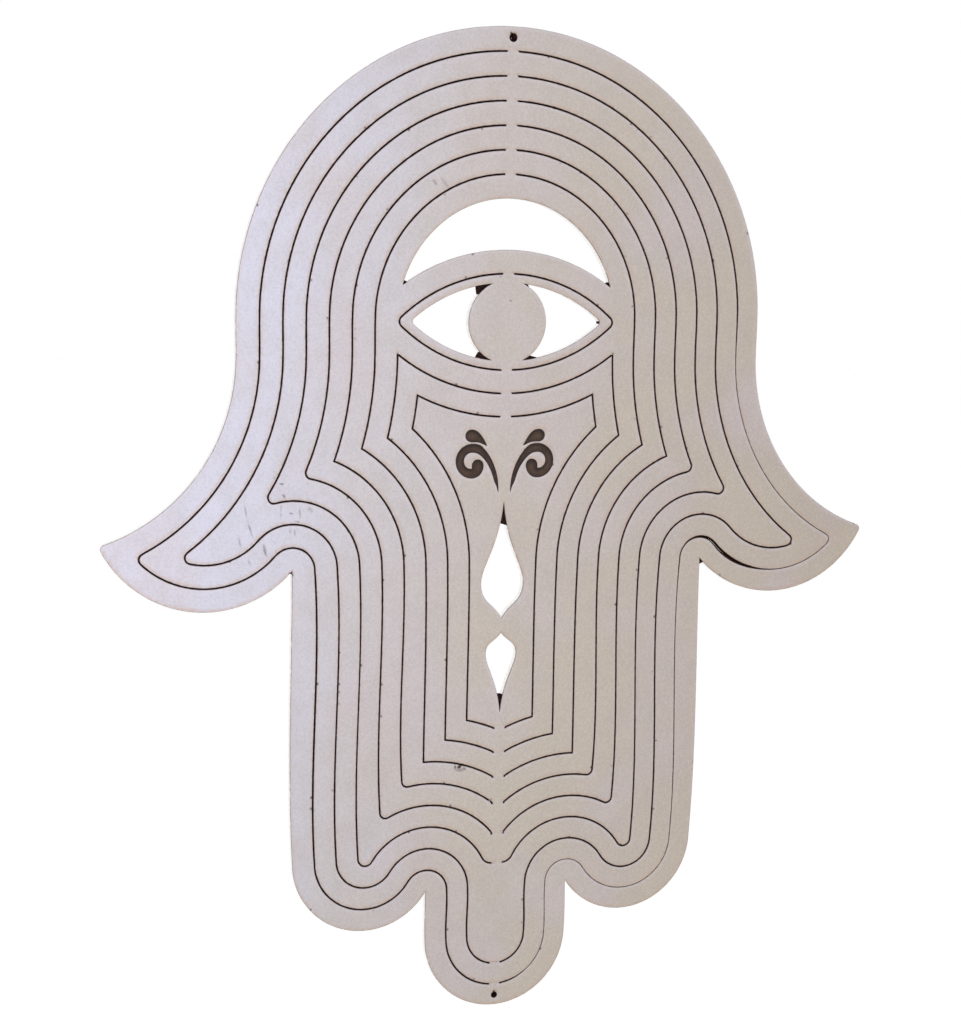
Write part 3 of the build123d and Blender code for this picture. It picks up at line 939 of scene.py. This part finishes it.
def dross_tree(settings):
    """Return the geometry tree that lays an uneven bead along a path of edges."""
    tree = bpy.data.node_groups.new("dross_bead", "GeometryNodeTree")
    for name, kind, value in (
        ("Geometry", "Geometry", None),
        ("Radius", "Float", settings.radius),
        ("Roughness", "Float", settings.unevenness),
        ("Material", "Material", finishes("dark_dross_and_painted_shade")[0]),
    ):
        socket = tree.interface.new_socket(name, in_out="INPUT", socket_type=f"NodeSocket{kind}")
        if value is not None:
            socket.default_value = value
    tree.interface.new_socket("Geometry", in_out="OUTPUT", socket_type="NodeSocketGeometry")
    tools = Nodes(tree)
    given = tools.add("NodeGroupInput")
    curve = tools.add("GeometryNodeMeshToCurve", {"Mesh": given.outputs["Geometry"]})
    where = tools.add("GeometryNodeInputPosition").outputs[0]
    noise = tools.noise(where, "bead")
    swing = tools.times(tools.math("SUBTRACT", noise, 0.5), given.outputs["Roughness"])
    radius = tools.times(tools.math("ADD", swing, 1.0), given.outputs["Radius"])
    sized = tools.add("GeometryNodeSetCurveRadius", {"Curve": curve.outputs[0], "Radius": 1.0})
    profile = tools.add("GeometryNodeCurvePrimitiveCircle", {"Resolution": 5, "Radius": 1.0}, mode="RADIUS")
    bead = tools.add("GeometryNodeCurveToMesh", {"Curve": sized.outputs[0], "Profile Curve": profile.outputs[0],
                                                 "Fill Caps": True, "Scale": radius})
    real = tools.add("GeometryNodeRealizeInstances", {"Geometry": bead.outputs[0]})
    done = tools.add("GeometryNodeSetMaterial", {"Geometry": real.outputs[0],
                                                 "Material": given.outputs["Material"]})
    tools.add("NodeGroupOutput", {"Geometry": done.outputs[0]})
    return tree


def ended_at_necks(points):
    """Return the points, the first ones inside a neck slid out to its side, and which were slid."""
    limit = NECK_HALF - NECK_SINK
    placed = points.copy()
    slid = np.zeros(len(points), bool)
    across = np.abs(points[:, 0])
    for way in (1, -1):
        beyond = np.roll(points, way, 0)
        last = (across < limit) & (np.abs(beyond[:, 0]) >= limit)
        share = (limit - across[last]) / (np.abs(beyond[last, 0]) - across[last])
        placed[last] = points[last] + share[:, None] * (beyond[last] - points[last])
        slid |= last
    return placed, slid


def path_object(name, lines, settings):
    """Return an object of open paths that follow the slit edges of these outlines."""
    vertices = []
    edges = []
    for line in lines:
        if line.blind or line.hole:
            continue
        start = len(vertices)
        reach = settings.sink - line.pinched * (settings.sink + PINCHED_SINK)
        placed, slid = ended_at_necks(line.back - inward(line.back) * reach[:, None])
        keep = (line.slit > 0.5) & (np.abs(placed[:, 0]) > NECK_HALF - NECK_SINK - HAIR) | slid
        depth = settings.inner_depth if line.inner else settings.outer_depth
        vertices.extend([(x, depth, z) for x, z in placed])
        count = len(placed)
        for i in range(count):
            after = (i + 1) % count
            if keep[i] and keep[after] and placed[i, 0] * placed[after, 0] > 0:
                edges.append((start + i, start + after))
    mesh = bpy.data.meshes.new(name)
    mesh.from_pydata(vertices, edges, [])
    item = bpy.data.objects.new(name, mesh)
    bpy.context.scene.collection.objects.link(item)
    return item, bool(edges)


def set_input(modifier, tree, name, value):
    """Set a modifier's input through its socket's identifier."""
    for item in tree.interface.items_tree:
        if item.item_type == "SOCKET" and item.in_out == "INPUT" and item.name == name:
            modifier[item.identifier] = value
            return
    raise ValueError(f"the tree has no input named {name}")


# Settings


def length(name, description, default, **more):
    """Return a setting that is a length."""
    return bpy.props.FloatProperty(name=name, description=description, default=default, unit="LENGTH", precision=5,
                                   **more)


def factor(name, description, default, low=0.0, high=1.0):
    """Return a setting that is a share."""
    return bpy.props.FloatProperty(name=name, description=description, default=default, min=low, max=high,
                                   subtype="FACTOR")


def tone(name, description, *screen):
    """Return a setting that is a colour, given by its three screen values."""
    return bpy.props.FloatVectorProperty(name=name, description=description, default=linear(*screen), size=4,
                                         subtype="COLOR")


def angle(name, description, degrees):
    """Return a setting that is an angle."""
    return bpy.props.FloatProperty(name=name, description=description, default=math.radians(degrees),
                                   unit="ROTATION")


def light(name, description):
    """Return a setting that is the colour of a light."""
    return bpy.props.FloatVectorProperty(name=name, description=description, default=(1.0, 1.0, 1.0), size=3,
                                         subtype="COLOR")


def power(name, description, default):
    """Return a setting that is a light's power."""
    return bpy.props.FloatProperty(name=name, description=description, default=default, min=0.0, unit="POWER")


class HAMSA_PG_finish(bpy.types.PropertyGroup):
    """Sizes and colours of the cut sheet."""

    rim: length("Edge round", "Width of the rounded rim of each cut", 0.05 * MM, min=0.0)
    grid: length("Face grid", "Spacing of the points inside a face", 2.2 * MM, min=0.5 * MM)
    spacing: length("Edge spacing", "Spacing of the points along a cut", 0.8 * MM, min=0.2 * MM)
    hole_waist: factor("Hole waist", "Share of its width that slag leaves of a hole", 0.06, low=0.02)
    halo: length("Heat halo", "Reach of the heat tint beside a cut", 1.0 * MM, min=0.0)
    roughness: factor("Roughness", "Roughness of the satin face", 0.46)
    metallic: factor("Metallic", "How metallic the face is", 0.32)
    # The cool and warm face tones are painted light: a cool light on the left, a warm light on the right.
    face_painted_cool_light: tone("Cool face", "The face's tone on its cool left side", 208, 207, 224)
    face_mid: tone("Middle face", "The face's tone in the middle", 200, 189, 183)
    face_painted_warm_light: tone("Warm face", "The face's tone on its warm right side", 192, 177, 166)
    halo_tint: tone("Heat tint", "Tan tint above the cuts", 196, 168, 148)
    # The cool tint below the cuts is a painted pale sheen.
    halo_painted_sheen: tone("Cool tint", "Pale tint below the cuts", 212, 203, 212)
    soot: tone("Soot", "Soot on the rim of the cuts", 66, 46, 40)
    # The slit wall tones are painted shade: the dark of the narrow slits.
    slit: tone("Slit wall", "Burnt wall inside a slit", 58, 36, 31)
    slit_pale: tone("Pale slit wall", "Paler streaks inside a slit", 112, 78, 64)
    wall: tone("Open wall", "Darker streaks of an open cut's wall", 240, 236, 232)
    wall_pale: tone("Pale wall", "Paler streaks of an open cut's wall", 254, 253, 252)
    char: tone("Char", "Charred floor of the scrolls", 88, 66, 54)
    char_dark: tone("Dark char", "Darkest char of the scrolls", 44, 27, 22)
    # The slag tones are dross on the beads and painted shade in the slits, webs and holes.
    slag: tone("Slag", "Dark slag of the beads, webs and holes", 30, 19, 18)
    slag_pale: tone("Pale slag", "Paler specks of the slag", 66, 44, 40)


class HAMSA_PG_dross(bpy.types.PropertyGroup):
    """Sizes of the dross beads inside the slits."""

    radius: length("Bead radius", "Mean radius of the dross bead", 0.115 * MM, min=0.01 * MM)
    sink: length("Stand-off", "How far the bead's centre stands off the wall", 0.085 * MM)
    outer_depth: length("Outer depth", "Depth of the outer panel's bead in a slit", 0.82 * MM)
    inner_depth: length("Inner depth", "Depth of the inner panel's bead in a slit", 0.42 * MM)
    unevenness: factor("Unevenness", "How much the bead's radius varies", 0.4, high=1.5)


class HAMSA_PG_stage(bpy.types.PropertyGroup):
    """Place of the camera and colours of the light."""

    azimuth: angle("Azimuth", "Camera's turn about the ornament", -17.905)
    elevation: angle("Elevation", "Camera's height above the horizon", 11.2173)
    roll: angle("Roll", "Camera's turn about its own axis", 0.6478)
    distance: length("Distance", "Camera's distance from its target", 432.605 * MM)
    lens: bpy.props.FloatProperty(name="Lens", description="Focal length for a 36 mm wide picture",
                                  default=73.6455, unit="CAMERA")
    target: bpy.props.FloatVectorProperty(name="Target", description="Point that the camera is aimed at",
                                          default=(-20.9754 * MM, 0.0, -136.4696 * MM), size=3, subtype="XYZ")
    shift: bpy.props.FloatVectorProperty(name="Shift", description="Shift of the picture, across and up",
                                         default=(0.074, 0.176), size=2)
    window_light: light("Window light", "Colour of the window's light")
    window_power: power("Window power", "Power of the window's light", 3.35)
    ceiling_light: light("Ceiling light", "Colour of the ceiling's light")
    ceiling_power: power("Ceiling power", "Power of the ceiling's light", 0.75)
    ambient: bpy.props.FloatProperty(name="Ambient", description="Level of the light from all round",
                                     default=0.3, min=0.0)
    floor_white: factor("Floor white", "White added to the floor as it is seen", 0.72)
    floor_gap: length("Floor gap", "Height of the hanging hand above the floor", 60 * MM)


# Operators


def add_piece(name, mesh, body, nodes, materials):
    """Link a finished mesh that rides on a body and stands for its nodes."""
    item = bpy.data.objects.new(name, mesh)
    bpy.context.scene.collection.objects.link(item)
    for material in materials:
        mesh.materials.append(material)
    if body:
        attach(item, body)
    if nodes:
        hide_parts(*nodes)
    return item


class HAMSA_OT_panels(bpy.types.Operator):
    """Make the ten cut panels with rounded rims, walls scorched at their front rims and darkened in the slits as
    painted shade, and engraved scrolls
    """

    bl_idname = "hamsa.panels"
    bl_label = "Panels"

    def execute(self, context):
        finish = context.scene.hamsa_finish
        outlines = read_outlines(finish.spacing)
        for body in PANELS:
            add_piece(f"{body}_sheet", panel_mesh(body, outlines, finish), body, [body], finishes())
        return {"FINISHED"}


class HAMSA_OT_necks(bpy.types.Operator):
    """Make the necks that twist between neighbouring panels"""

    bl_idname = "hamsa.necks"
    bl_label = "Necks"

    def execute(self, context):
        for body, nodes in BODIES.items():
            for node in nodes:
                if "neck" not in node:
                    continue
                piece = add_piece(f"{node}_twist", neck_mesh(node), None, [node], finishes()[:PAINTED_SHADE_SLIT_WALL + 1])
                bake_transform(piece)
        return {"FINISHED"}


class HAMSA_OT_dross(bpy.types.Operator):
    """Lay a dross bead along both walls of every slit, which also paints the slit dark as shade"""

    bl_idname = "hamsa.dross"
    bl_label = "Dross"

    def execute(self, context):
        settings = context.scene.hamsa_dross
        tree = dross_tree(settings)
        outlines = read_outlines(context.scene.hamsa_finish.spacing)
        for body in PANELS:
            item, used = path_object(f"{body}_dross_path", outlines[body], settings)
            if not used:
                raise RuntimeError(f"{body} has no slit edge for its dross")
            modifier = item.modifiers.new("Dross", "NODES")
            modifier.node_group = tree
            set_input(modifier, tree, "Radius", settings.radius)
            set_input(modifier, tree, "Roughness", settings.unevenness)
            context.view_layer.update()
            mesh = bpy.data.meshes.new_from_object(item.evaluated_get(context.evaluated_depsgraph_get()))
            item.modifiers.remove(modifier)
            bpy.data.objects.remove(item)
            mesh.name = f"{body}_dross"
            mesh.materials.clear()
            mesh.shade_smooth()
            add_piece(f"{body}_dross", mesh, body, [], finishes("dark_dross_and_painted_shade"))
        return {"FINISHED"}


# Webs of painted shade, dark plates in acute corners: panel, the corner's place in mm, and how far the web runs
# along its edge each way in mm
WEBS = (
    ("eye", (-4.4, -50.7), 5.2, 2.0), ("eye", (-4.4, -66.6), 1.9, 4.0), ("eye", (4.6, -66.5), 2.9, 2.6),
    ("eye", (4.2, -50.7), 0.7, 1.5), ("eye", (21.3, -58.6), 0.6, 0.6),
    ("palm_panel", (0.0, -97.3), 5.2, 4.5), ("palm_panel", (0.0, -144.2), 3.4, 3.4),
    ("eye_frame", (-23.8, -51.2), 0.8, 0.8), ("eye_frame", (23.9, -51.2), 1.1, 1.1),
    ("outer_ring", (47.4, -111.4), 1.1, 1.1), ("outer_ring", (-47.6, -111.4), 0.4, 0.4),
    ("outer_ring", (17.0, -186.3), 0.9, 0.9), ("outer_ring", (-17.0, -185.5), 0.6, 0.6),
)


def web_mesh(body, lines, tip, ahead, behind, rng):
    """Return a dark plate of painted shade that fills an acute corner of an opening."""
    spot = np.array(tip) * MM
    line = min((line for line in lines if not line.blind), key=lambda line: np.hypot(*(line.points - spot).T).min())
    index = int(np.argmin(np.hypot(*(line.points - spot).T)))
    count = len(line.points)
    path = [index]
    for way, reach in ((1, ahead * MM), (-1, behind * MM)):
        walked = 0.0
        place = index
        while walked < reach:
            after = (place + way) % count
            walked += float(np.hypot(*(line.points[after] - line.points[place])))
            place = after
            path = path + [place] if way > 0 else [place] + path
    rim = [line.points[place] + line.normal[place] * WEB_LAP for place in path]
    free = [rim[-1] + share * (rim[0] - rim[-1]) for share in np.linspace(0, 1, WEB_FREE_POINTS + 2)[1:-1]]
    outline = np.array(rim + [point + rng.normal(0, WEB_RAGGED, 2) for point in free])
    ring = [(place, (place + 1) % len(outline)) for place in range(len(outline))]
    points, triangles = triangulated(outline, ring, 1)
    size = len(points)
    vertices = [(x, WEB_FRONT + rng.normal(0, WEB_UNEVEN), z) for x, z in points]
    vertices += [(x, WEB_BACK, z) for x, z in points]
    faces = triangles.tolist() + (triangles[:, ::-1] + size).tolist()
    faces += [(b, a, a + size, b + size) for a, b in border_edges(triangles)]
    mesh = bpy.data.meshes.new(f"{body}_web")
    mesh.from_pydata(vertices, [], faces)
    mesh.validate()
    return mesh


class HAMSA_OT_webs(bpy.types.Operator):
    """Leave dark webs of painted shade in the acute corners of the openings"""

    bl_idname = "hamsa.webs"
    bl_label = "Webs"

    def execute(self, context):
        outlines = read_outlines(context.scene.hamsa_finish.spacing)
        rng = np.random.default_rng(7)
        for index, (body, tip, ahead, behind) in enumerate(WEBS):
            mesh = web_mesh(body, outlines[body], tip, ahead, behind, rng)
            # Each web is a dark plate of painted shade.
            add_piece(f"{body}_web_{index}", mesh, body, [], finishes("dark_dross_and_painted_shade"))
        return {"FINISHED"}


WHITE = (1.0, 1.0, 1.0, 1.0)
FLOOR_COLOUR = (0.92, 0.92, 0.92, 1.0)
FLOOR_REACH = 6.0
PICTURE_WIDTH = 36.0
LIT_MIDDLE = Vector((0.0, 0.0, -0.108))
# Each lamp: its place, and its width and height
WINDOW = (-0.12, -0.9, -0.1), (0.4, 0.6)
CEILING = (-0.1, -0.6, 0.5), (0.5, 0.5)


def area_lamp(name, where, power, colour):
    """Add a soft lamp that faces the ornament's middle."""
    place, size = where
    data = bpy.data.lights.new(name, "AREA")
    data.shape = "RECTANGLE"
    data.size, data.size_y = size
    data.energy = power
    data.color = colour
    item = bpy.data.objects.new(name, data)
    item.location = place
    item.rotation_mode = "QUATERNION"
    item.rotation_quaternion = (LIT_MIDDLE - Vector(place)).to_track_quat("-Z", "Y")
    bpy.context.scene.collection.objects.link(item)


def camera_matrix(stage):
    """Return the camera's place and turn, with the roll about its own axis."""
    azimuth, elevation, roll = stage.azimuth, stage.elevation, stage.roll
    back = Vector((math.sin(azimuth) * math.cos(elevation), -math.cos(azimuth) * math.cos(elevation),
                   math.sin(elevation)))
    right = (-back).cross(Vector((0, 0, 1))).normalized()
    up = right.cross(-back)
    right, up = (math.cos(roll) * right + math.sin(roll) * up, -math.sin(roll) * right + math.cos(roll) * up)
    turn = Matrix((right, up, back)).transposed().to_4x4()
    return Matrix.Translation(Vector(stage.target) + back * stage.distance) @ turn


def seen_directly(tools):
    """Return 1 for camera, glossy and transmission rays, and 0 for the rest."""
    path = tools.add("ShaderNodeLightPath")
    seen = tools.math("MAXIMUM", path.outputs["Is Camera Ray"], path.outputs["Is Glossy Ray"])
    return tools.math("MAXIMUM", seen, path.outputs["Is Transmission Ray"])


def lay_floor(stage):
    """Lay the pale floor below the hanging ornament, which is seen as white."""
    mesh = bpy.data.meshes.new("floor")
    height = CAD_BOX[0][2] - stage.floor_gap
    corners = [(x * FLOOR_REACH, y * FLOOR_REACH, height) for x, y in ((-1, -1), (1, -1), (1, 1), (-1, 1))]
    mesh.from_pydata(corners, [], [(0, 1, 2, 3)])
    floor = bpy.data.objects.new("floor", mesh)
    bpy.context.scene.collection.objects.link(floor)
    material, tools, shader = new_material("pale_floor")
    tools.tree.nodes.remove(shader)
    diffuse = tools.add("ShaderNodeBsdfDiffuse", {"Color": FLOOR_COLOUR}).outputs[0]
    white = tools.times(seen_directly(tools), stage.floor_white)
    glow = tools.add("ShaderNodeEmission", {"Color": WHITE, "Strength": white}).outputs[0]
    both = tools.add("ShaderNodeAddShader", {0: diffuse, 1: glow}).outputs[0]
    tools.feed(tools.tree.nodes["Material Output"].inputs["Surface"], both)
    mesh.materials.append(material)


def light_world(stage):
    """Light the ornament from all round, with a white ground where the world is seen."""
    world = bpy.data.worlds.new("studio")
    bpy.context.scene.world = world
    world.use_nodes = True
    tools = Nodes(world.node_tree)
    background = world.node_tree.nodes["Background"]
    background.inputs["Color"].default_value = WHITE
    background.inputs["Strength"].default_value = stage.ambient
    white = tools.add("ShaderNodeBackground", {"Color": WHITE, "Strength": 1.0}).outputs[0]
    values = {0: seen_directly(tools), 1: background.outputs[0], 2: white}
    both = tools.add("ShaderNodeMixShader", values).outputs[0]
    tools.feed(world.node_tree.nodes["World Output"].inputs["Surface"], both)


def place_camera(scene, stage):
    """Place the camera where the photograph was taken from."""
    data = bpy.data.cameras.new("camera")
    data.sensor_fit = "HORIZONTAL"
    data.sensor_width = PICTURE_WIDTH
    data.lens = stage.lens
    data.shift_x, data.shift_y = stage.shift
    data.clip_start, data.clip_end = 0.01, 100.0
    camera = bpy.data.objects.new("camera", data)
    camera.matrix_world = camera_matrix(stage)
    scene.collection.objects.link(camera)
    scene.camera = camera


class HAMSA_OT_stage(bpy.types.Operator):
    """Set the floor, the soft lights and the camera"""

    bl_idname = "hamsa.stage"
    bl_label = "Stage"

    def execute(self, context):
        stage = context.scene.hamsa_stage
        lay_floor(stage)
        light_world(stage)
        area_lamp("window_light", WINDOW, stage.window_power, stage.window_light)
        area_lamp("ceiling_light", CEILING, stage.ceiling_power, stage.ceiling_light)
        place_camera(context.scene, stage)
        context.scene.view_settings.view_transform = "Standard"
        return {"FINISHED"}


class HAMSA_PT_sidebar(bpy.types.Panel):
    """Sizes and steps of the ornament"""

    bl_idname = "HAMSA_PT_sidebar"
    bl_label = "Hamsa Hand"
    bl_space_type = "VIEW_3D"
    bl_region_type = "UI"
    bl_category = "Hamsa"

    def draw(self, context):
        layout = self.layout
        for title, group, operators in (
            ("Sheet", context.scene.hamsa_finish, ("hamsa.panels", "hamsa.necks")),
            ("Dross", context.scene.hamsa_dross, ("hamsa.dross", "hamsa.webs")),
            ("Stage", context.scene.hamsa_stage, ("hamsa.stage",)),
        ):
            box = layout.box()
            box.label(text=title)
            for name in group.__annotations__:
                box.prop(group, name)
            for operator in operators:
                box.operator(operator)


GROUPS = (("hamsa_finish", HAMSA_PG_finish), ("hamsa_dross", HAMSA_PG_dross), ("hamsa_stage", HAMSA_PG_stage))
OPERATORS = (HAMSA_OT_panels, HAMSA_OT_necks, HAMSA_OT_dross, HAMSA_OT_webs, HAMSA_OT_stage)


def register():
    """Register the settings, the operators and the sidebar."""
    for name, group in GROUPS:
        bpy.utils.register_class(group)
        setattr(bpy.types.Scene, name, bpy.props.PointerProperty(type=group))
    for item in (*OPERATORS, HAMSA_PT_sidebar):
        bpy.utils.register_class(item)


def unregister():
    """Remove the sidebar, the operators and the settings."""
    for item in (HAMSA_PT_sidebar, *reversed(OPERATORS)):
        bpy.utils.unregister_class(item)
    for name, group in reversed(GROUPS):
        delattr(bpy.types.Scene, name)
        bpy.utils.unregister_class(group)


def main():
    """Make the whole dressed ornament and its stage."""
    register()
    bpy.ops.hamsa.panels()
    bpy.ops.hamsa.necks()
    bpy.ops.hamsa.dross()
    bpy.ops.hamsa.webs()
    bpy.ops.hamsa.stage()


if __name__ == "__main__":
    main()
